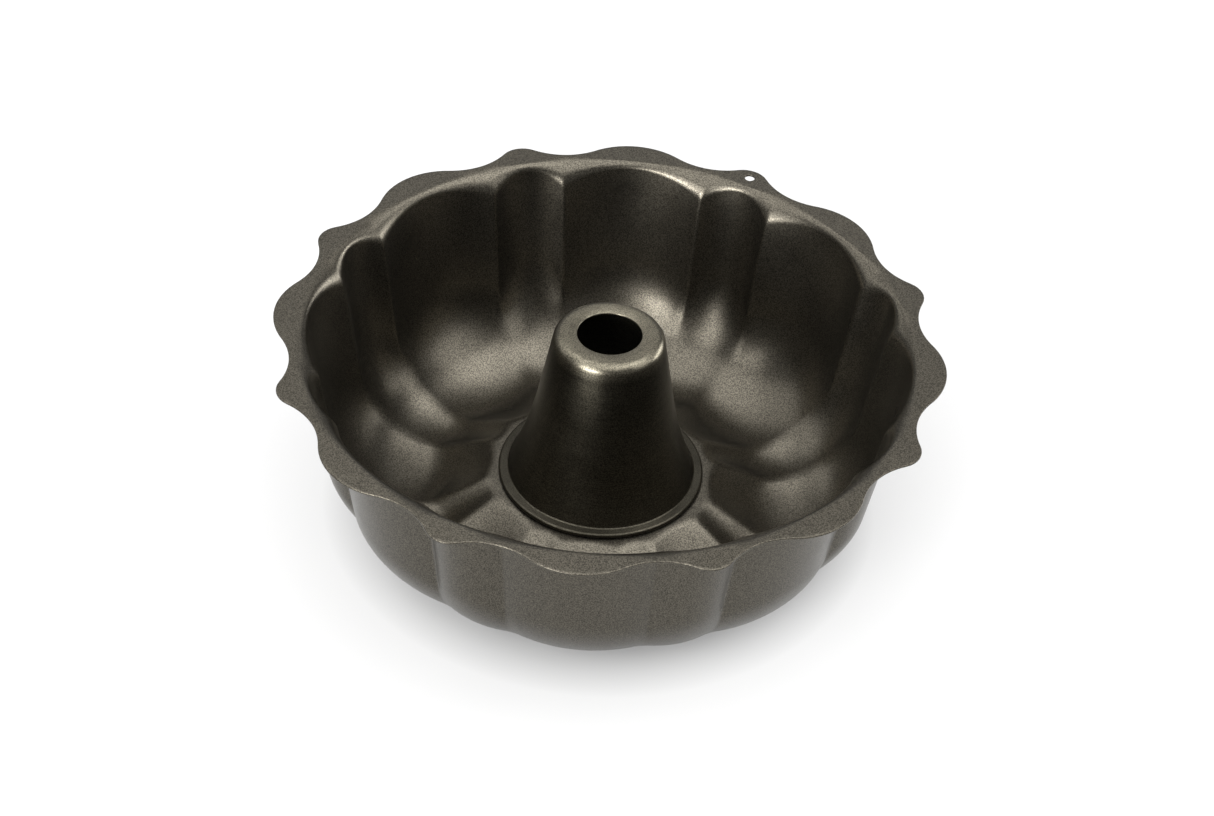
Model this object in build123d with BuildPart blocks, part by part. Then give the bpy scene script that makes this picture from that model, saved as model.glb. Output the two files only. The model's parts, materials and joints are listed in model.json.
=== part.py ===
from build123d import *

import os
from math import acos, atan2, cos, degrees, hypot, radians, sin, sqrt, tan

# Fluted tube pan for baking: a one-piece fluted body with a cone set in its centre.
#
# Units are millimetres. The origin is on the table under the middle of the pan, +Z is up,
# and the hanging hole is on +Y, in the tab over one narrow flute.

# ---- sheet and overall size -------------------------------------------------------
SHEET = 0.8  # thickness of both stampings
BOWL_DEPTH = 79.2  # from the rim's top face to the inside of a wide flute's lowest point
FOOT_FLAT = 0.15  # sized off the lowest points, so that the pan stands steadily
RIM_Z = BOWL_DEPTH + SHEET - FOOT_FLAT  # height of the rim's top face

# ---- scalloped rim ----------------------------------------------------------------
TIP_RADIUS = 128.7  # outermost points of all the bumps
NARROW_BUMP_RADIUS = 9.5
WIDE_BUMP_RADIUS = 28.5
VALLEY_RADIUS = 27.5  # hollow curve between two bumps
TRIM_MARGIN = 3.0  # drawn blank that is left outside the tips before trimming

HANG_HOLE_DIAMETER = 4.0
HANG_HOLE_POSITION = 123.6  # distance from the axis

# ---- flutes -----------------------------------------------------------------------
FLUTE_PAIRS = 8  # one narrow and one wide flute in each
SECTOR = 360 / FLUTE_PAIRS
SECTOR_STEPS = 30  # sections that a sector is lofted through, less one
NARROW_HALF_ANGLE = 7.7  # from the middle of a narrow flute to the ridge beside it
RIDGE_BLEND = 0.15  # how far a ridge is rounded on the wall, as a share of the flute's depth
BASE_BLEND = 0.7  # the same on the floor, where the ridges are softer
NARROW_BASE_RAISE = 0.35  # a narrow flute is this much shallower at the floor

# ---- section through the bowl, in the middle of a wide flute ------------------------
WALL_DRAFT = 9.3  # degrees off vertical
RIM_BEND_START = 118.4  # radius where the flat rim starts to bend down
RIM_BEND_RADIUS = 3.0
FLOOR_RADIUS = 71.0  # radius of the lowest point of the floor
TURN_RADIUS = 35.7  # of the wall's turn into the floor
TURN_ANGLE = 45.0  # degrees above level, where the wider arc under the wall takes over
RISE_RADIUS = 23.5  # of the floor's turn up to the land
LAND_DEPTH = 65.5  # from the rim's top face down to the land round the centre hole
LAND_RADIUS = 41.0  # outer radius of the flat land
LAND_BEND_RADIUS = 6.5

# ---- the same section on a ridge: what is added to the numbers above ----------------
RIDGE_BEND_START = 2.5
RIDGE_BEND_RADIUS = 8.2
RIDGE_TURN_TIGHTER = 7.0
RIDGE_FLOOR_RAISE = 2.0
RIDGE_FLOOR_SHIFT = 2.0
RIDGE_RISE_TIGHTER = 6.0
RIDGE_LAND_SHIFT = 1.5

# ---- centre hole and cone -----------------------------------------------------------
PAN_HOLE_RADIUS = 38.2
CONE_RISE = 3.7  # cone's top face above the rim's top face
CONE_HOLE_RADIUS = 12.4
CONE_SHOULDER = 20.6  # where the top and the wall would meet, on the sheet's middle line
CONE_SHOULDER_RADIUS = 3.6
CONE_UPPER_DRAFT = 9.9  # degrees off vertical
CONE_LOWER_DRAFT = 22.0
CONE_FLARE_DEPTH = 46.5  # below the rim, where the two drafts would meet
CONE_FLARE_RADIUS = 150.0
CONE_FOOT_RADIUS = 1.2
BEAD_RADIUS = 40.4  # outside of the seam bead
BEAD_HEIGHT = 2.0  # above the land
BEAD_BEND = 0.59
NECK_CLEARANCE = 0.2  # between the neck and the pan's centre hole
NECK_BEND = 0.5
LIP_RADIUS = 40.9  # outside of the lip rolled out under the pan


def ridge_share(angle, narrow_floor, blend):
    """Height of the wall towards the axis: narrow_floor or 0 in a flute, 1 on a ridge."""
    angle = abs(angle)
    wide_half_angle = SECTOR / 2 - NARROW_HALF_ANGLE
    narrow = narrow_floor + (1 - narrow_floor) * (angle / NARROW_HALF_ANGLE) ** 2
    wide = ((SECTOR / 2 - angle) / wide_half_angle) ** 2
    mix = min(max(0.5 + 0.5 * (wide - narrow) / blend, 0), 1)
    return wide * (1 - mix) + narrow * mix - blend * mix * (1 - mix)


def section_plane(angle):
    """Upright plane through the axis: its x is the radius and its y is height."""
    a = radians(angle)
    return Plane(origin=(0, 0, RIM_Z), x_dir=(cos(a), sin(a), 0), z_dir=(sin(a), -cos(a), 0))


def bowl_section(angle):
    """Face cut through the sheet, from the rim to the centre hole, at an angle round the axis."""
    wall_share = ridge_share(angle, 0, RIDGE_BLEND)
    base_share = ridge_share(angle, NARROW_BASE_RAISE, BASE_BLEND)
    draft = radians(WALL_DRAFT)

    bend_radius = RIM_BEND_RADIUS + RIDGE_BEND_RADIUS * wall_share
    bend_x = RIM_BEND_START + RIDGE_BEND_START * wall_share
    wall_x = bend_x - bend_radius * cos(draft)
    wall_y = bend_radius * (sin(draft) - 1)

    floor_x = FLOOR_RADIUS + RIDGE_FLOOR_SHIFT * base_share
    floor_y = RIDGE_FLOOR_RAISE * base_share - BOWL_DEPTH
    turn_radius = TURN_RADIUS - RIDGE_TURN_TIGHTER * base_share
    turn_y = floor_y + turn_radius
    spare = (wall_x - floor_x) * cos(draft) - (wall_y - turn_y) * sin(draft) - turn_radius
    turn = radians(TURN_ANGLE)
    wider = spare / (1 - cos(turn - draft))
    bowl_radius = turn_radius + wider
    bowl_centre = (floor_x - wider * cos(turn), turn_y + wider * sin(turn))

    rise_radius = RISE_RADIUS - RIDGE_RISE_TIGHTER * base_share
    land_bend = LAND_BEND_RADIUS + RIDGE_RISE_TIGHTER * base_share
    land_x = LAND_RADIUS + RIDGE_LAND_SHIFT * base_share
    both = rise_radius + land_bend
    reach = floor_x - land_x
    drop = both - (-LAND_DEPTH - floor_y)
    straight = sqrt(reach**2 + drop**2 - both**2)
    slope = degrees(atan2(reach, drop) - atan2(straight, both))

    rim_x = TIP_RADIUS + TRIM_MARGIN
    inner_x = PAN_HOLE_RADIUS - TRIM_MARGIN
    with BuildSketch(section_plane(angle)) as section:
        with BuildLine():
            for depth in (0, SHEET):
                rim_bend = CenterArc(
                    (bend_x, -bend_radius), bend_radius - depth, 90, 90 - WALL_DRAFT
                )
                bowl = CenterArc(
                    bowl_centre, bowl_radius + depth, -WALL_DRAFT, WALL_DRAFT - TURN_ANGLE
                )
                CenterArc((floor_x, turn_y), turn_radius + depth, -TURN_ANGLE, TURN_ANGLE - 90)
                rise = CenterArc(
                    (floor_x, floor_y + rise_radius), rise_radius + depth, -90, -slope
                )
                foot = CenterArc(
                    (land_x, -LAND_DEPTH - land_bend), land_bend - depth, 90 - slope, slope
                )
                Line((rim_x, -depth), rim_bend @ 0)
                Line(rim_bend @ 1, bowl @ 0)
                Line(rise @ 1, foot @ 0)
                Line(foot @ 1, (inner_x, -LAND_DEPTH - depth))
            Line((rim_x, 0), (rim_x, -SHEET))
            Line((inner_x, -LAND_DEPTH), (inner_x, -LAND_DEPTH - SHEET))
        make_face()
    return section.sketch


def polar(radius, angle):
    """Point in the plane of the rim."""
    return (radius * cos(radians(angle)), radius * sin(radians(angle)))


def rim_outline():
    """Face inside the scalloped outline of the rim, at the height of the table."""
    half = SECTOR / 2
    narrow_centre = TIP_RADIUS - NARROW_BUMP_RADIUS
    wide_centre = TIP_RADIUS - WIDE_BUMP_RADIUS
    wide_x, wide_y = polar(wide_centre, half)
    span = hypot(wide_x - narrow_centre, wide_y)
    to_narrow = NARROW_BUMP_RADIUS + VALLEY_RADIUS
    to_wide = WIDE_BUMP_RADIUS + VALLEY_RADIUS
    lean = acos((to_narrow**2 + span**2 - to_wide**2) / (2 * to_narrow * span))
    heading = atan2(wide_y, wide_x - narrow_centre) - lean
    valley_x = narrow_centre + to_narrow * cos(heading)
    valley_y = to_narrow * sin(heading)
    valley_distance = hypot(valley_x, valley_y)
    valley_angle = degrees(atan2(valley_y, valley_x))

    narrow_end = degrees(heading)
    back_to_wide = degrees(atan2(valley_y - wide_y, valley_x - wide_x))
    wide_end = half - back_to_wide
    with BuildSketch() as outline:
        with BuildLine():
            for pair in range(FLUTE_PAIRS):
                turn = pair * SECTOR
                CenterArc(
                    polar(narrow_centre, turn), NARROW_BUMP_RADIUS,
                    turn - narrow_end, 2 * narrow_end,
                )
                CenterArc(
                    polar(wide_centre, turn + half), WIDE_BUMP_RADIUS,
                    turn + half - wide_end, 2 * wide_end,
                )
                for side in (1, -1):
                    CenterArc(
                        polar(valley_distance, turn + side * valley_angle), VALLEY_RADIUS,
                        turn + side * (180 + narrow_end), side * (back_to_wide - narrow_end),
                    )
        make_face()
    return outline.sketch


os.makedirs("parts", exist_ok=True)

# ---- pan body: one sector is lofted, repeated and trimmed -----------------------------
section_angles = [step * SECTOR / SECTOR_STEPS - SECTOR / 2 for step in range(SECTOR_STEPS + 1)]

with BuildPart() as sector:
    loft([bowl_section(angle) for angle in section_angles])

with BuildPart() as pan_body:
    with PolarLocations(0, FLUTE_PAIRS):
        add(sector.part)
    with BuildSketch():
        add(rim_outline())
        Circle(PAN_HOLE_RADIUS, mode=Mode.SUBTRACT)
        with Locations((0, HANG_HOLE_POSITION)):
            Circle(HANG_HOLE_DIAMETER / 2, mode=Mode.SUBTRACT)
    extrude(amount=RIM_Z + SHEET, mode=Mode.INTERSECT)
pan_body.part.label = "pan_body"
export_step(pan_body.part, "parts/pan_body.step")


# ---- centre cone: the middle line of the sheet, given its thickness and revolved ---------
cone_top = RIM_Z + CONE_RISE - SHEET / 2
land_top = RIM_Z - LAND_DEPTH
bead_top = land_top + BEAD_HEIGHT - SHEET / 2
bead_bottom = land_top + SHEET / 2
lip_height = land_top - SHEET - SHEET / 2
flare_height = RIM_Z - CONE_FLARE_DEPTH
neck = PAN_HOLE_RADIUS - NECK_CLEARANCE - SHEET / 2
flare_x = CONE_SHOULDER + (cone_top - flare_height) * tan(radians(CONE_UPPER_DRAFT))
foot_x = flare_x + (flare_height - bead_top) * tan(radians(CONE_LOWER_DRAFT))

with BuildPart() as centre_cone:
    with BuildSketch(Plane.XZ):
        with BuildLine():
            FilletPolyline(
                (CONE_HOLE_RADIUS, cone_top),
                (CONE_SHOULDER, cone_top),
                (flare_x, flare_height),
                (foot_x, bead_top),
                (BEAD_RADIUS - SHEET / 2, bead_top),
                (BEAD_RADIUS - SHEET / 2, bead_bottom),
                (neck, bead_bottom),
                (neck, lip_height),
                (LIP_RADIUS, lip_height),
                radius=[
                    CONE_SHOULDER_RADIUS, CONE_FLARE_RADIUS, CONE_FOOT_RADIUS,
                    BEAD_BEND, BEAD_BEND, NECK_BEND, NECK_BEND,
                ],
            )
        trace(line_width=SHEET)
    revolve(axis=Axis.Z)
centre_cone.part.label = "centre_cone"
export_step(centre_cone.part, "parts/centre_cone.step")
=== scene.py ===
"""Looks of the fluted tube pan: a one-piece fluted body with a spun cone set in its centre.

Lengths in the shape functions are millimetres, as on the drawing of the pan, and each mesh is
scaled to metres when it is made. The axis of the pan is Z and the hanging hole is on +Y.
"""

import json
from math import acos, atan2, cos, hypot, pi, radians, sin, tan

import bpy
import numpy as np
from mathutils import Matrix, Vector

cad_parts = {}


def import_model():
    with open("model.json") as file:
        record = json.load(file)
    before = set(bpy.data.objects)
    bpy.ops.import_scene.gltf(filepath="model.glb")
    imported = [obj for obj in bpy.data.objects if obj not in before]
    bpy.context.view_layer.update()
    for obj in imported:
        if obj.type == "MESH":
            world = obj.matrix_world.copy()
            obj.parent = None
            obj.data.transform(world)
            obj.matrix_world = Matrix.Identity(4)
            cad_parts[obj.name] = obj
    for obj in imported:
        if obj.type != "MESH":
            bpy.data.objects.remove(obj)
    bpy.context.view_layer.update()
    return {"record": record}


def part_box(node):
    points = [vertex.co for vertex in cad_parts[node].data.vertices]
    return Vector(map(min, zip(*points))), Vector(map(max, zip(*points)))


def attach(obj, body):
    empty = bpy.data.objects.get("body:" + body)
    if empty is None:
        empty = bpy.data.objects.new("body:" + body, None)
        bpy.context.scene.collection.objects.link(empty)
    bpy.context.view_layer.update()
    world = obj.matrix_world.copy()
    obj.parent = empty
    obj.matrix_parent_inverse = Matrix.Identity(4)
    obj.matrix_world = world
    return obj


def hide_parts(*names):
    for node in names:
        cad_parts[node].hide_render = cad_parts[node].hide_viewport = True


MM = 0.001

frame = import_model()
pan_low, pan_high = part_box("pan_body")
cone_low, cone_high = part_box("centre_cone")

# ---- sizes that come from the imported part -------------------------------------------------
RIM_Z = pan_high.z / MM  # height of the rim's top face
TIP_RADIUS = pan_high.x / MM  # outermost points of the bumps
CONE_TOP_Z = cone_high.z / MM
LIP_RADIUS = cone_high.x / MM  # rolled lip under the pan
BORES = {m["name"]: m for m in frame["record"]["mounts"] if m["kind"] == "bore"}
CONE_HOLE_RADIUS = BORES["cone_top_hole"]["dims"]["r_mm"]
HANG_HOLE_RADIUS = BORES["hanging_hole"]["dims"]["r_mm"]
HANG_HOLE_Y = BORES["hanging_hole"]["pos_m"][1] / MM

# ---- sheet --------------------------------------------------------------------------------
SHEET = 0.8
EDGE_ROUND = 0.25  # rounding of the coated cut edges
HOLE_EDGE_ROUND = 0.15  # the same in the hanging hole

# ---- scalloped rim ------------------------------------------------------------------------
NARROW_BUMP_RADIUS = 9.5
WIDE_BUMP_RADIUS = 28.5
VALLEY_RADIUS = 27.5  # hollow curve between two bumps

# ---- flutes -------------------------------------------------------------------------------
FLUTE_PAIRS = 8  # one narrow and one wide flute in each
SECTOR = 360 / FLUTE_PAIRS
NARROW_HALF_ANGLE = 7.7  # from the middle of a narrow flute to the ridge beside it
RIDGE_BLEND = 0.15  # how far a ridge is rounded on the wall, as a share of the flute's depth
BASE_BLEND = 0.7  # the same on the floor, where the ridges are softer
NARROW_BASE_RAISE = 0.35  # a narrow flute is this much shallower at the floor

# ---- section through the bowl, in the middle of a wide flute --------------------------------
WALL_DRAFT = 9.3  # degrees off vertical
BOWL_DEPTH = 79.2  # from the rim's top face to the inside of the lowest point
RIM_BEND_START = 118.4  # radius where the flat rim starts to bend down
RIM_BEND_RADIUS = 3.0
FLOOR_RADIUS = 71.0  # radius of the lowest point of the floor
TURN_RADIUS = 35.7  # of the wall's turn into the floor
TURN_ANGLE = 45.0  # degrees above level, where the wider arc under the wall takes over
RISE_RADIUS = 23.5  # of the floor's turn up to the land
LAND_DEPTH = 65.5  # from the rim's top face down to the land round the centre hole
LAND_RADIUS = 41.0  # outer radius of the flat land
LAND_BEND_RADIUS = 6.5

# ---- the same section on a ridge: what is added to the numbers above ------------------------
RIDGE_BEND_START = 2.5
RIDGE_BEND_RADIUS = 8.2
RIDGE_TURN_TIGHTER = 7.0
RIDGE_FLOOR_RAISE = 2.0
RIDGE_FLOOR_SHIFT = 2.0
RIDGE_RISE_TIGHTER = 6.0
RIDGE_LAND_SHIFT = 1.5

# ---- cone ---------------------------------------------------------------------------------
PAN_HOLE_RADIUS = 38.2
CONE_SHOULDER = 20.6  # where the top and the wall would meet, on the sheet's middle line
CONE_SHOULDER_RADIUS = 3.6
CONE_UPPER_DRAFT = 9.9  # degrees off vertical
CONE_LOWER_DRAFT = 22.0
CONE_FLARE_DEPTH = 46.5  # below the rim, where the two drafts would meet
CONE_FLARE_RADIUS = 150.0
CONE_FOOT_RADIUS = 1.2
BEAD_RADIUS = 40.4  # outside of the seam bead
BEAD_HEIGHT = 2.0  # above the land
BEAD_BEND = 0.59
NECK_CLEARANCE = 0.2  # between the neck and the pan's centre hole
NECK_BEND = 0.5

# ---- how finely the meshes are cut ----------------------------------------------------------
RIDGE_ZONE = (5.0, 10.5)  # degrees from a narrow flute's middle: the ridge is cut finest
HALF_SECTOR_CUTS = (7, 14, 10)  # before, in and after that zone
RIM_ROWS = (0.0, 0.12, 0.31, 0.5, 0.69, 0.88, 0.96, 1.0)  # shares of the flat rim's width
RIM_BEND_CUTS = 10
WALL_CUTS = 5
BOWL_CUTS = 14
TURN_CUTS = 14
RISE_CUTS = 10
SLOPE_CUTS = 3
LAND_BEND_CUTS = 6
LAND_ROWS = (0.4, 0.8, 1.0)  # shares of the land's width
CORNER_CUTS = 3  # on each corner of a cut edge
HOLE_PATCH_ROWS = range(1, 5)  # rows of the rim that make room for the hanging hole
HOLE_PATCH_HALF = 4  # columns that do so, on each side of the hole
CONE_COLUMNS = 224
CONE_CAP_CUTS = 6
CONE_ARC_STEP = radians(9)
CONE_RUN_STEP = 3.0  # longest piece of a straight run


# =============================================================================================
# Mesh helpers
# =============================================================================================
def mesh_piece(name, points, faces, material, node):
    """A smooth-shaded piece in metres that stands for a CAD node and rides on its body."""
    mesh = bpy.data.meshes.new(name)
    mesh.from_pydata((np.asarray(points) * MM).tolist(), [], faces)
    mesh.shade_smooth()
    mesh.materials.append(material)
    piece = bpy.data.objects.new(name, mesh)
    bpy.context.scene.collection.objects.link(piece)
    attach(piece, "root")
    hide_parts(node)
    return piece


def ring_grid(rows, columns, skipped=()):
    """Quads of a grid that closes on itself both ways; skipped holds (row, column) cells."""
    skipped = set(skipped)
    quads = []
    for i in range(rows):
        k = (i + 1) % rows
        for j in range(columns):
            m = (j + 1) % columns
            if (i, j) not in skipped:
                quads.append((i * columns + j, i * columns + m, k * columns + m, k * columns + j))
    return quads


def arc_rows(centre_x, centre_y, radius, start, sweep, cuts):
    """Points along an arc, one row for each cut, leaving out the arc's first point."""
    shares = np.arange(1, cuts + 1)[:, None] / cuts
    turn = np.radians(start + sweep * shares)
    return centre_x + radius * np.cos(turn), centre_y + radius * np.sin(turn)


def line_rows(start, end, cuts):
    """Points along a straight line, one row for each cut, leaving out the line's first point."""
    shares = np.arange(1, cuts + 1)[:, None] / cuts
    return tuple(a + (b - a) * shares for a, b in zip(start, end))


# =============================================================================================
# Pan body
# =============================================================================================
def column_angles():
    """Angles round the axis where the pan is cut, closer together on the ridges."""
    stops = (0, *RIDGE_ZONE, SECTOR / 2)
    half = []
    for low, high, cuts in zip(stops, stops[1:], HALF_SECTOR_CUTS):
        half += [low + (high - low) * cut / cuts for cut in range(cuts)]
    sector = half + [SECTOR - a for a in [SECTOR / 2, *half[:0:-1]]]
    return np.array([pair * SECTOR + a for pair in range(FLUTE_PAIRS) for a in sector])


def from_narrow(angles):
    """Angle from the middle of the nearest narrow flute, 0 to half a sector."""
    folded = np.mod(angles, SECTOR)
    return np.minimum(folded, SECTOR - folded)


def ridge_share(angles, narrow_floor, blend):
    """Height of the wall towards the axis: narrow_floor or 0 in a flute, 1 on a ridge."""
    away = from_narrow(angles)
    wide_half_angle = SECTOR / 2 - NARROW_HALF_ANGLE
    narrow = narrow_floor + (1 - narrow_floor) * (away / NARROW_HALF_ANGLE) ** 2
    wide = ((SECTOR / 2 - away) / wide_half_angle) ** 2
    mix = np.clip(0.5 + 0.5 * (wide - narrow) / blend, 0, 1)
    return wide * (1 - mix) + narrow * mix - blend * mix * (1 - mix)


def rim_radius(angles):
    """Distance of the scalloped edge from the axis: tangent arcs of three circles."""
    half = radians(SECTOR / 2)
    narrow_centre = TIP_RADIUS - NARROW_BUMP_RADIUS
    wide_centre = TIP_RADIUS - WIDE_BUMP_RADIUS
    wide_x = wide_centre * cos(half)
    wide_y = wide_centre * sin(half)
    span = hypot(wide_x - narrow_centre, wide_y)
    to_narrow = NARROW_BUMP_RADIUS + VALLEY_RADIUS
    to_wide = WIDE_BUMP_RADIUS + VALLEY_RADIUS
    lean = acos((to_narrow**2 + span**2 - to_wide**2) / (2 * to_narrow * span))
    heading = atan2(wide_y, wide_x - narrow_centre) - lean
    valley_x = narrow_centre + to_narrow * cos(heading)
    valley_y = to_narrow * sin(heading)
    valley_distance = hypot(valley_x, valley_y)
    valley_angle = atan2(valley_y, valley_x)

    narrow_share = NARROW_BUMP_RADIUS / to_narrow
    narrow_end = atan2(valley_y * narrow_share, narrow_centre + (valley_x - narrow_centre) * narrow_share)
    wide_share = WIDE_BUMP_RADIUS / to_wide
    wide_end = atan2(wide_y + (valley_y - wide_y) * wide_share, wide_x + (valley_x - wide_x) * wide_share)

    def across(away, centre_distance, centre_angle, radius, side):
        lean_away = away - centre_angle
        reach = np.maximum(radius**2 - (centre_distance * np.sin(lean_away)) ** 2, 0)
        return centre_distance * np.cos(lean_away) + side * np.sqrt(reach)

    away = np.radians(from_narrow(angles))
    narrow = across(away, narrow_centre, 0, NARROW_BUMP_RADIUS, 1)
    valley = across(away, valley_distance, valley_angle, VALLEY_RADIUS, -1)
    wide = across(away, wide_centre, half, WIDE_BUMP_RADIUS, 1)
    return np.where(away < narrow_end, narrow, np.where(away < wide_end, valley, wide))


def bowl_face(angles, depth):
    """Radius and height (rows by columns) of one face of the sheet, from the rim's edge to
    the centre hole. Depth is 0 on the top face and the sheet's thickness on the underside."""
    wall_share = ridge_share(angles, 0, RIDGE_BLEND)
    base_share = ridge_share(angles, NARROW_BASE_RAISE, BASE_BLEND)
    draft = radians(WALL_DRAFT)

    bend_radius = RIM_BEND_RADIUS + RIDGE_BEND_RADIUS * wall_share
    bend_x = RIM_BEND_START + RIDGE_BEND_START * wall_share
    wall_x = bend_x - bend_radius * cos(draft)
    wall_y = bend_radius * (sin(draft) - 1)

    floor_x = FLOOR_RADIUS + RIDGE_FLOOR_SHIFT * base_share
    floor_y = RIDGE_FLOOR_RAISE * base_share - BOWL_DEPTH
    turn_radius = TURN_RADIUS - RIDGE_TURN_TIGHTER * base_share
    turn_y = floor_y + turn_radius
    spare = (wall_x - floor_x) * cos(draft) - (wall_y - turn_y) * sin(draft) - turn_radius
    turn = radians(TURN_ANGLE)
    wider = spare / (1 - cos(turn - draft))
    bowl_x = floor_x - wider * cos(turn)
    bowl_y = turn_y + wider * sin(turn)
    bowl_radius = turn_radius + wider

    land_x = LAND_RADIUS + RIDGE_LAND_SHIFT * base_share
    reach = floor_x - land_x
    rise = -LAND_DEPTH - floor_y
    rise_radius = RISE_RADIUS - RIDGE_RISE_TIGHTER * base_share
    land_bend = LAND_BEND_RADIUS + RIDGE_RISE_TIGHTER * base_share
    both = RISE_RADIUS + LAND_BEND_RADIUS
    straight = np.sqrt(reach**2 + (both - rise) ** 2 - both**2)
    slope = np.degrees(np.arctan2(reach, both - rise) - np.arctan2(straight, both))

    edge_x = rim_radius(angles) - EDGE_ROUND
    flat_x = edge_x + (bend_x - edge_x) * np.array(RIM_ROWS)[:, None]
    rise_y = floor_y + rise_radius
    foot_radius = land_bend - depth
    foot_y = -LAND_DEPTH - land_bend
    tilt = np.radians(slope)
    ring_x = land_x + (PAN_HOLE_RADIUS + EDGE_ROUND - land_x) * np.array(LAND_ROWS)[:, None]
    wall_ends = (
        (
            bend_x - (bend_radius - depth) * cos(draft),
            -bend_radius + (bend_radius - depth) * sin(draft),
        ),
        (
            bowl_x + (bowl_radius + depth) * cos(draft),
            bowl_y - (bowl_radius + depth) * sin(draft),
        ),
    )
    slope_ends = (
        (
            floor_x - (rise_radius + depth) * np.sin(tilt),
            rise_y - (rise_radius + depth) * np.cos(tilt),
        ),
        (
            land_x + foot_radius * np.sin(tilt),
            foot_y + foot_radius * np.cos(tilt),
        ),
    )
    parts = (
        (flat_x, np.full_like(flat_x, -depth)),
        arc_rows(bend_x, -bend_radius, bend_radius - depth, 90, 90 - WALL_DRAFT, RIM_BEND_CUTS),
        line_rows(*wall_ends, WALL_CUTS),
        arc_rows(bowl_x, bowl_y, bowl_radius + depth, -WALL_DRAFT, WALL_DRAFT - TURN_ANGLE, BOWL_CUTS),
        arc_rows(floor_x, turn_y, turn_radius + depth, -TURN_ANGLE, TURN_ANGLE - 90, TURN_CUTS),
        arc_rows(floor_x, rise_y, rise_radius + depth, -90, -slope, RISE_CUTS),
        line_rows(*slope_ends, SLOPE_CUTS),
        arc_rows(land_x, foot_y, foot_radius, 90 - slope, slope, LAND_BEND_CUTS),
        (ring_x, np.full_like(ring_x, -LAND_DEPTH - depth)),
    )
    return np.vstack([p[0] for p in parts]), np.vstack([p[1] for p in parts])


def rounded_edge(edge_x, top_y, outward):
    """Rows over a cut edge, from the top face to the underside. Outward is 1 for the rim
    and -1 for the centre hole."""
    shares = np.arange(1, CORNER_CUTS + 1) / CORNER_CUTS
    x, y = [], []
    for corner_y, start in ((top_y - EDGE_ROUND, pi / 2), (top_y - SHEET + EDGE_ROUND, 0)):
        for turn in start - shares * pi / 2:
            x.append(edge_x + outward * EDGE_ROUND * (cos(turn) - 1))
            y.append(np.full_like(edge_x, corner_y + EDGE_ROUND * sin(turn)))
        if start:
            x.append(edge_x)
            y.append(np.full_like(edge_x, top_y - SHEET + EDGE_ROUND))
    return np.array(x[:-1]), np.array(y[:-1])


def hole_rings(points, turns):
    """Adds the rounded edge of the hanging hole to the points, from the rim's top face to its
    underside, and returns the indices of each ring."""
    edge = HOLE_EDGE_ROUND
    profile = (
        (edge * 2, 0),
        (edge, 0),
        (edge * 0.3, -edge * 0.3),
        (0, -edge),
        (0, edge - SHEET),
        (edge * 0.3, edge * 0.3 - SHEET),
        (edge, -SHEET),
        (edge * 2, -SHEET),
    )
    rings = []
    for wider, height in profile:
        radius = HANG_HOLE_RADIUS + wider
        ring = []
        for turn in turns:
            ring.append(len(points))
            points.append([radius * cos(turn), HANG_HOLE_Y + radius * sin(turn), RIM_Z + height])
        rings.append(ring)
    return rings


def hanging_hole(points, top_border, under_border):
    """Faces that fill the patches left out of both faces of the rim, with the hole in them."""
    turns = []
    for index, following in zip(top_border, top_border[1:] + top_border[:1]):
        for share in (0, 0.5):
            x = points[index][0] * (1 - share) + points[following][0] * share
            y = points[index][1] * (1 - share) + points[following][1] * share
            turns.append(atan2(y - HANG_HOLE_Y, x))
    rings = hole_rings(points, turns)
    count = len(turns)
    faces = []
    for upper, lower in zip(rings, rings[1:]):
        for k in range(count):
            n = (k + 1) % count
            faces.append((upper[k], upper[n], lower[n], lower[k]))
    for loop, ring, flip in ((top_border, rings[0], False), (under_border, rings[-1], True)):
        for k, index in enumerate(loop):
            following = loop[(k + 1) % len(loop)]
            a, b, c = ring[2 * k], ring[2 * k + 1], ring[(2 * k + 2) % count]
            for face in ((index, b, a), (index, following, b), (following, c, b)):
                faces.append(face[::-1] if flip else face)
    return faces


def patch_border(first, last, low, high):
    """Grid places (row, column) round a patch, in order."""
    border = [(first, column) for column in range(low, high)]
    border += [(row, high) for row in range(first, last)]
    border += [(last, column) for column in range(high, low, -1)]
    border += [(row, low) for row in range(last, first, -1)]
    return border


def pan_body(material):
    angles = column_angles()
    columns = len(angles)
    top_x, top_y = bowl_face(angles, 0)
    under_x, under_y = bowl_face(angles, SHEET)
    hole_x, hole_y = rounded_edge(np.full(columns, PAN_HOLE_RADIUS), -LAND_DEPTH, -1)
    rim_x, rim_y = rounded_edge(rim_radius(angles), 0.0, 1)
    x = np.vstack([top_x, hole_x, under_x[::-1], rim_x[::-1]])
    y = np.vstack([top_y, hole_y, under_y[::-1], rim_y[::-1]])
    z = np.maximum(RIM_Z + y, 0)  # the lowest points are sized flat
    turn = np.radians(angles)
    points = np.stack([x * np.cos(turn), x * np.sin(turn), z], axis=-1).reshape(-1, 3).tolist()

    # A patch of the flat rim is left out on both faces, and the hanging hole goes there.
    middle = int(np.argmin(np.abs(angles - 90)))
    low = middle - HOLE_PATCH_HALF
    high = middle + HOLE_PATCH_HALF
    under_last = len(top_x) + len(hole_x) + len(under_x) - 1
    skipped = [(row, column) for row in HOLE_PATCH_ROWS for column in range(low, high)]
    skipped += [(under_last - row - 1, column) for row, column in skipped]
    border = patch_border(HOLE_PATCH_ROWS.start, HOLE_PATCH_ROWS.stop, low, high)
    top_border = [row * columns + column for row, column in border]
    under_border = [(under_last - row) * columns + column for row, column in border]
    faces = ring_grid(len(x), columns, skipped)
    faces += hanging_hole(points, top_border, under_border)
    return mesh_piece("pan_body_shell", points, faces, material, "pan_body")


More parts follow.
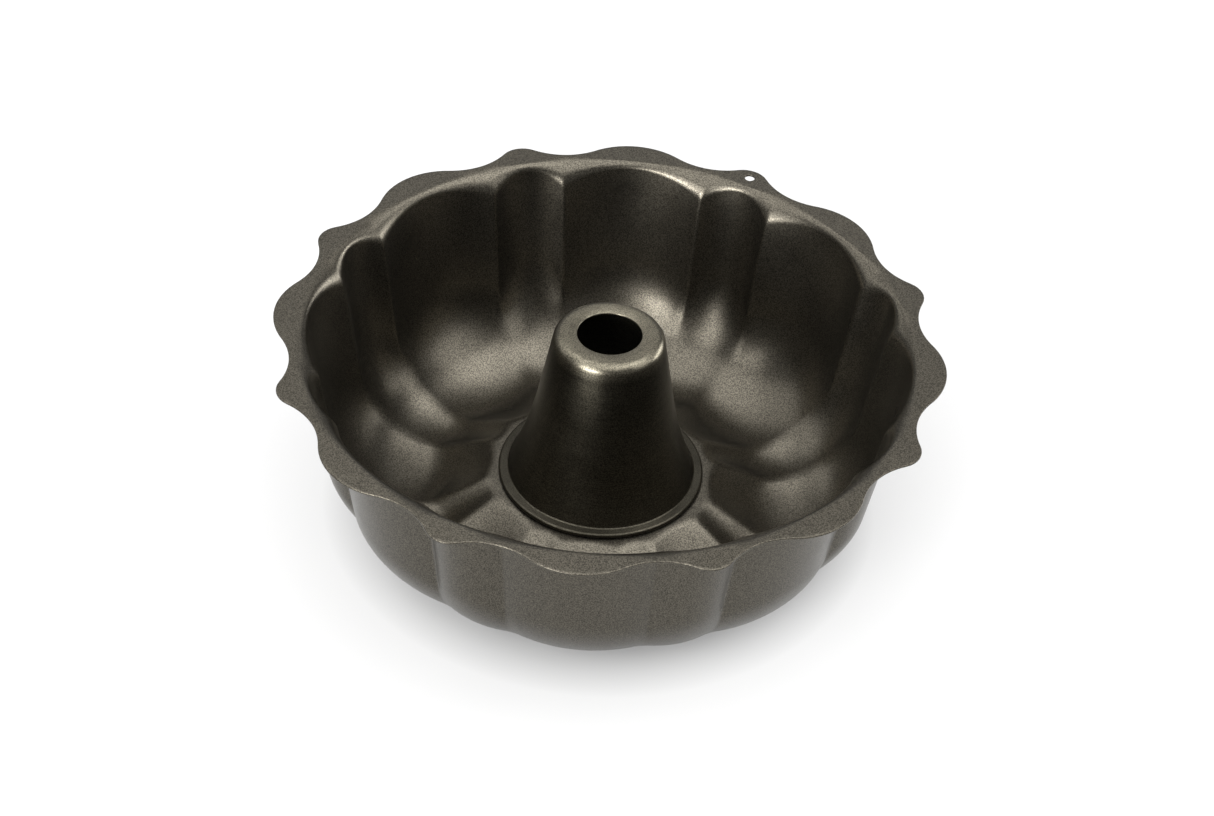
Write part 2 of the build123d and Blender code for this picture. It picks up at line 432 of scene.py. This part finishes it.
# =============================================================================================
# Centre cone
# =============================================================================================
def rounded_path(corners, radii, step):
    """Points along straight runs with a tangent arc at each inner corner."""
    corners = [np.array(c, float) for c in corners]
    path = [corners[0]]
    for before, here, after, radius in zip(corners, corners[1:], corners[2:], radii):
        back = (before - here) / np.linalg.norm(before - here)
        ahead = (after - here) / np.linalg.norm(after - here)
        half = acos(float(np.clip(back @ ahead, -1, 1))) / 2
        trim = radius / tan(half)
        middle = (back + ahead) / np.linalg.norm(back + ahead)
        centre = here + middle * radius / sin(half)
        start = here + back * trim - centre
        end = here + ahead * trim - centre
        first = atan2(start[1], start[0])
        sweep = (atan2(end[1], end[0]) - first + pi) % (2 * pi) - pi
        cuts = max(3, int(np.ceil(abs(sweep) / step)))
        for cut in range(cuts + 1):
            turn = first + sweep * cut / cuts
            path.append(centre + radius * np.array([cos(turn), sin(turn)]))
    path.append(corners[-1])
    return np.array(path)


def cone_path():
    """Middle line of the cone's sheet, from the hole in its top to the edge of its lip."""
    cone_top = CONE_TOP_Z - SHEET / 2
    land_top = RIM_Z - LAND_DEPTH
    bead_top = land_top + BEAD_HEIGHT - SHEET / 2
    bead_bottom = land_top + SHEET / 2
    bead_x = BEAD_RADIUS - SHEET / 2
    lip_height = land_top - SHEET - SHEET / 2
    neck = PAN_HOLE_RADIUS - NECK_CLEARANCE - SHEET / 2
    flare_height = RIM_Z - CONE_FLARE_DEPTH
    flare_x = CONE_SHOULDER + (cone_top - flare_height) * tan(radians(CONE_UPPER_DRAFT))
    foot_x = flare_x + (flare_height - bead_top) * tan(radians(CONE_LOWER_DRAFT))
    corners = (
        (CONE_HOLE_RADIUS, cone_top),
        (CONE_SHOULDER, cone_top),
        (flare_x, flare_height),
        (foot_x, bead_top),
        (bead_x, bead_top),
        (bead_x, bead_bottom),
        (neck, bead_bottom),
        (neck, lip_height),
        (LIP_RADIUS, lip_height),
    )
    radii = (
        CONE_SHOULDER_RADIUS,
        CONE_FLARE_RADIUS,
        CONE_FOOT_RADIUS,
        BEAD_BEND,
        BEAD_BEND,
        NECK_BEND,
        NECK_BEND,
    )
    path = rounded_path(corners, radii, CONE_ARC_STEP)
    # Long straight runs get points in between, so that the shading stays even.
    dense = [path[0]]
    for a, b in zip(path, path[1:]):
        cuts = max(1, int(np.linalg.norm(b - a) // CONE_RUN_STEP))
        dense += [a + (b - a) * cut / cuts for cut in range(1, cuts + 1)]
    return np.array(dense)


def end_cap(point, direction, side):
    """Rounded cut edge at one end of the cone's sheet."""
    across = side * SHEET / 2
    turns = np.arange(1, CONE_CAP_CUTS) / CONE_CAP_CUTS * pi
    return [point + direction * EDGE_ROUND * (sin(turn) - 1) + across * cos(turn) for turn in turns]


def centre_cone(material):
    path = cone_path()
    along = np.gradient(path, axis=0)
    along /= np.linalg.norm(along, axis=1)[:, None]
    normal = np.stack([-along[:, 1], along[:, 0]], axis=1)
    upper = path + normal * SHEET / 2
    lower = path - normal * SHEET / 2
    first_cap = end_cap(path[0], -along[0], -normal[0])
    last_cap = end_cap(path[-1], along[-1], normal[-1])
    upper[0] += along[0] * EDGE_ROUND
    lower[0] += along[0] * EDGE_ROUND
    upper[-1] -= along[-1] * EDGE_ROUND
    lower[-1] -= along[-1] * EDGE_ROUND
    outline = np.array([*upper, *last_cap, *lower[::-1], *first_cap])
    turn = np.arange(CONE_COLUMNS) / CONE_COLUMNS * 2 * pi
    x = outline[:, 0][:, None]
    z = outline[:, 1][:, None] + 0 * turn
    points = np.stack([x * np.cos(turn), x * np.sin(turn), z], axis=-1).reshape(-1, 3)
    faces = [face[::-1] for face in ring_grid(len(outline), CONE_COLUMNS)]
    return mesh_piece("centre_cone_spun", points, faces, material, "centre_cone")


# =============================================================================================
# Materials
# =============================================================================================
def nodes_of(name):
    material = bpy.data.materials.new(name)
    material.use_nodes = True
    tree = material.node_tree
    return material, tree, tree.nodes["Principled BSDF"]


def noise(tree, coords, scale, detail=2.0, roughness=0.5):
    node = tree.nodes.new("ShaderNodeTexNoise")
    node.inputs["Scale"].default_value = scale
    node.inputs["Detail"].default_value = detail
    node.inputs["Roughness"].default_value = roughness
    tree.links.new(coords, node.inputs["Vector"])
    return node.outputs["Fac"]


def ramp(tree, value, low, high, low_value, high_value):
    node = tree.nodes.new("ShaderNodeMapRange")
    node.inputs["From Min"].default_value = low
    node.inputs["From Max"].default_value = high
    node.inputs["To Min"].default_value = low_value
    node.inputs["To Max"].default_value = high_value
    tree.links.new(value, node.inputs["Value"])
    return node.outputs["Result"]


def blend_colors(tree, factor, first, second):
    node = tree.nodes.new("ShaderNodeMix")
    node.data_type = "RGBA"
    node.inputs["A"].default_value = (*first, 1)
    node.inputs["B"].default_value = (*second, 1)
    tree.links.new(factor, node.inputs["Factor"])
    return node.outputs["Result"]


FLAKE_SCALE = 2200  # sparkling flakes in the coat, a little under half a millimetre apart
CLOUD_SCALE = 45  # slow changes of its gloss
COAT_GRAIN = 0.00006  # height of the grain, in metres
COAT_GRAIN_STRENGTH = 0.5


def coat_material(name, dark, light, roughness, metallic):
    """Satin metallic coat with a fine sparkle, between a dark and a light colour."""
    material, tree, shader = nodes_of(name)
    coords = tree.nodes.new("ShaderNodeTexCoord").outputs["Object"]
    flakes = noise(tree, coords, FLAKE_SCALE, 1.0, 0.6)
    clouds = noise(tree, coords, CLOUD_SCALE, 3.0)
    color = blend_colors(tree, ramp(tree, flakes, 0.36, 0.64, 0, 1), dark, light)
    tree.links.new(color, shader.inputs["Base Color"])
    rough = ramp(tree, clouds, 0.3, 0.7, *roughness)
    tree.links.new(rough, shader.inputs["Roughness"])
    shader.inputs["Metallic"].default_value = metallic
    bump = tree.nodes.new("ShaderNodeBump")
    bump.inputs["Strength"].default_value = COAT_GRAIN_STRENGTH
    bump.inputs["Distance"].default_value = COAT_GRAIN
    tree.links.new(flakes, bump.inputs["Height"])
    tree.links.new(bump.outputs["Normal"], shader.inputs["Normal"])
    return material


LINE_SCALE = 60
LINE_STRETCH = (1, 1, 40)  # the lines are this much finer up the cone than round it
LINE_SHADES = (0.8, 1.2)
LINE_GLOSS_SPREAD = 0.55
QUARTER_TURN = 0.25
PAINTED_HIGHLIGHT_LOW = CONE_TOP_Z - 7.0  # painted highlight: the coat of the cone is made lighter above this height, for the overhead lamp's shine on its shoulder
PAINTED_HIGHLIGHT_HIGH = CONE_TOP_Z - 3.0
PAINTED_HIGHLIGHT_GAIN = 2.8


def turned_lines(material):
    """Fine lines left round the cone by spinning: a highlight spreads up and down the wall."""
    tree = material.node_tree
    shader = tree.nodes["Principled BSDF"]
    tangent = tree.nodes.new("ShaderNodeTangent")
    tangent.direction_type = "RADIAL"
    tangent.axis = "Z"
    tree.links.new(tangent.outputs["Tangent"], shader.inputs["Tangent"])
    shader.inputs["Anisotropic"].default_value = LINE_GLOSS_SPREAD
    shader.inputs["Anisotropic Rotation"].default_value = QUARTER_TURN
    coords = tree.nodes.new("ShaderNodeTexCoord").outputs["Object"]
    stretch = tree.nodes.new("ShaderNodeMapping")
    stretch.inputs["Scale"].default_value = LINE_STRETCH
    tree.links.new(coords, stretch.inputs["Vector"])
    lines = noise(tree, stretch.outputs["Vector"], LINE_SCALE, 3.0, 0.7)
    shade = ramp(tree, lines, 0.3, 0.7, *LINE_SHADES)
    # Painted highlight: the coat's colour is made up to 2.8 times lighter near the top of the cone, in
    # place of the overhead lamp's shine on the shoulder.
    height = tree.nodes.new("ShaderNodeSeparateXYZ")
    tree.links.new(coords, height.inputs["Vector"])
    painted_highlight = ramp(tree, height.outputs["Z"], PAINTED_HIGHLIGHT_LOW * MM, PAINTED_HIGHLIGHT_HIGH * MM, 1.0, PAINTED_HIGHLIGHT_GAIN)
    both = tree.nodes.new("ShaderNodeMath")
    both.operation = "MULTIPLY"
    tree.links.new(shade, both.inputs[0])
    tree.links.new(painted_highlight, both.inputs[1])
    color = shader.inputs["Base Color"].links[0].from_socket
    tint = tree.nodes.new("ShaderNodeVectorMath")
    tint.operation = "SCALE"
    tree.links.new(color, tint.inputs[0])
    tree.links.new(both.outputs["Value"], tint.inputs["Scale"])
    tree.links.new(tint.outputs["Vector"], shader.inputs["Base Color"])


# =============================================================================================
# Camera, floor and lights
# =============================================================================================
CAMERA_AZIMUTH = radians(25.35)  # how far the picture's right is turned from +X
CAMERA_ELEVATION = radians(40.62)
CAMERA_ROLL = radians(-3.89)
CAMERA_DISTANCE = 1.084
CAMERA_OFFSET = (-0.00089, 0.02544)  # of the rim's centre from the line of sight, right and up
CAMERA_LENS = 84.5
CAMERA_SENSOR = 36
PICTURE_RIGHT = Vector((cos(CAMERA_AZIMUTH), sin(CAMERA_AZIMUTH), 0))
PICTURE_FRONT = Vector((sin(CAMERA_AZIMUTH), -cos(CAMERA_AZIMUTH), 0))
UP = Vector((0, 0, 1))


def camera():
    back = PICTURE_FRONT * cos(CAMERA_ELEVATION) + UP * sin(CAMERA_ELEVATION)
    up = back.cross(PICTURE_RIGHT)
    place = UP * RIM_Z * MM + back * CAMERA_DISTANCE
    place -= PICTURE_RIGHT * CAMERA_OFFSET[0] + up * CAMERA_OFFSET[1]
    side = PICTURE_RIGHT * cos(CAMERA_ROLL) - up * sin(CAMERA_ROLL)
    top = PICTURE_RIGHT * sin(CAMERA_ROLL) + up * cos(CAMERA_ROLL)
    data = bpy.data.cameras.new("camera")
    data.lens = CAMERA_LENS
    data.sensor_width = CAMERA_SENSOR
    data.clip_start = 0.05
    data.clip_end = 50
    item = bpy.data.objects.new("camera", data)
    bpy.context.scene.collection.objects.link(item)
    turned = Matrix((side, top, back)).transposed()
    item.matrix_world = Matrix.LocRotScale(place, turned, None)
    bpy.context.scene.camera = item


SOFT_BOXES = (  # name, azimuth, elevation, distance, width and height, radiance
    ("overhead", 0, 90, 1.3, (1.7, 1.7), 2.85),
    ("high_right", 110, 62, 1.3, (1.0, 0.8), 1.7),
    ("side_right", 80, 36, 1.3, (0.8, 0.6), 2.5),
    ("low_right", 115, 14, 1.4, (0.8, 0.45), 9.0),
    ("front_left", 320, 36, 1.3, (0.8, 0.6), 6.4),
    ("low_left", 330, 14, 1.4, (0.7, 0.45), 27.0),
    ("back", 180, 36, 1.3, (1.2, 0.6), 0.8),
    ("far_left", 243, 40, 1.3, (1.0, 0.7), 1.65),
)
LIGHT_AIM = Vector((0, 0, 0.05))
WORLD_LIGHT = 0.25


def soft_box(name, azimuth, elevation, distance, size, radiance):
    """Rectangular light that faces the pan. The azimuth is in degrees, from the camera's side
    towards the picture's right as seen from above. The radiance is in W/sr/m2."""
    turn = radians(azimuth)
    tilt = radians(elevation)
    level = PICTURE_RIGHT * sin(turn) + PICTURE_FRONT * cos(turn)
    heading = level * cos(tilt) + UP * sin(tilt)
    data = bpy.data.lights.new(name, "AREA")
    data.shape = "RECTANGLE"
    data.size, data.size_y = size
    data.energy = radiance * pi * size[0] * size[1]
    item = bpy.data.objects.new(name, data)
    item.location = LIGHT_AIM + heading * distance
    item.rotation_euler = (-heading).to_track_quat("-Z", "Y").to_euler()
    bpy.context.scene.collection.objects.link(item)


FLOOR_REACH = 6.0
FLOOR_HEIGHT = -0.0002
FLOOR_COLOR = (0.28, 0.28, 0.28, 1)
WHITE = (1, 1, 1, 1)
GLOW = 0.52
GLOW_START = 0.07  # the floor doesn't glow nearer to the axis than this, under the pan
GLOW_FULL = 0.11


def floor():
    """Pale floor that glows a little round the pan, which keeps the background white."""
    reach = FLOOR_REACH
    corners = [(-reach, -reach, 0), (reach, -reach, 0), (reach, reach, 0), (-reach, reach, 0)]
    mesh = bpy.data.meshes.new("floor")
    mesh.from_pydata(corners, [], [(0, 1, 2, 3)])
    material, tree, shader = nodes_of("pale_floor")
    shader.inputs["Base Color"].default_value = FLOOR_COLOR
    shader.inputs["Roughness"].default_value = 0.9
    shader.inputs["Specular IOR Level"].default_value = 0.0
    shader.inputs["Emission Color"].default_value = WHITE
    coords = tree.nodes.new("ShaderNodeTexCoord").outputs["Object"]
    away = tree.nodes.new("ShaderNodeVectorMath")
    away.operation = "LENGTH"
    tree.links.new(coords, away.inputs[0])
    glow = ramp(tree, away.outputs["Value"], GLOW_START, GLOW_FULL, 0.0, GLOW)
    tree.links.new(glow, shader.inputs["Emission Strength"])
    mesh.materials.append(material)
    item = bpy.data.objects.new("floor", mesh)
    item.location.z = FLOOR_HEIGHT
    bpy.context.scene.collection.objects.link(item)


def world(strength):
    studio = bpy.data.worlds.new("studio")
    studio.use_nodes = True
    background = studio.node_tree.nodes["Background"]
    background.inputs["Color"].default_value = WHITE
    background.inputs["Strength"].default_value = strength
    bpy.context.scene.world = studio


# =============================================================================================
# The scene
# =============================================================================================
bpy.context.scene.view_settings.view_transform = "Standard"
camera()
world(WORLD_LIGHT)
floor()
for box in SOFT_BOXES:
    soft_box(*box)

pan_coat = coat_material(
    "pan_coat",
    dark=(0.04, 0.036, 0.029),
    light=(0.119, 0.108, 0.086),
    roughness=(0.27, 0.33),
    metallic=0.96,
)
cone_coat = coat_material(
    "cone_coat",
    dark=(0.026, 0.0235, 0.018),
    light=(0.068, 0.062, 0.047),
    roughness=(0.28, 0.36),
    metallic=0.99,
)
turned_lines(cone_coat)
pan_body(pan_coat)
centre_cone(cone_coat)
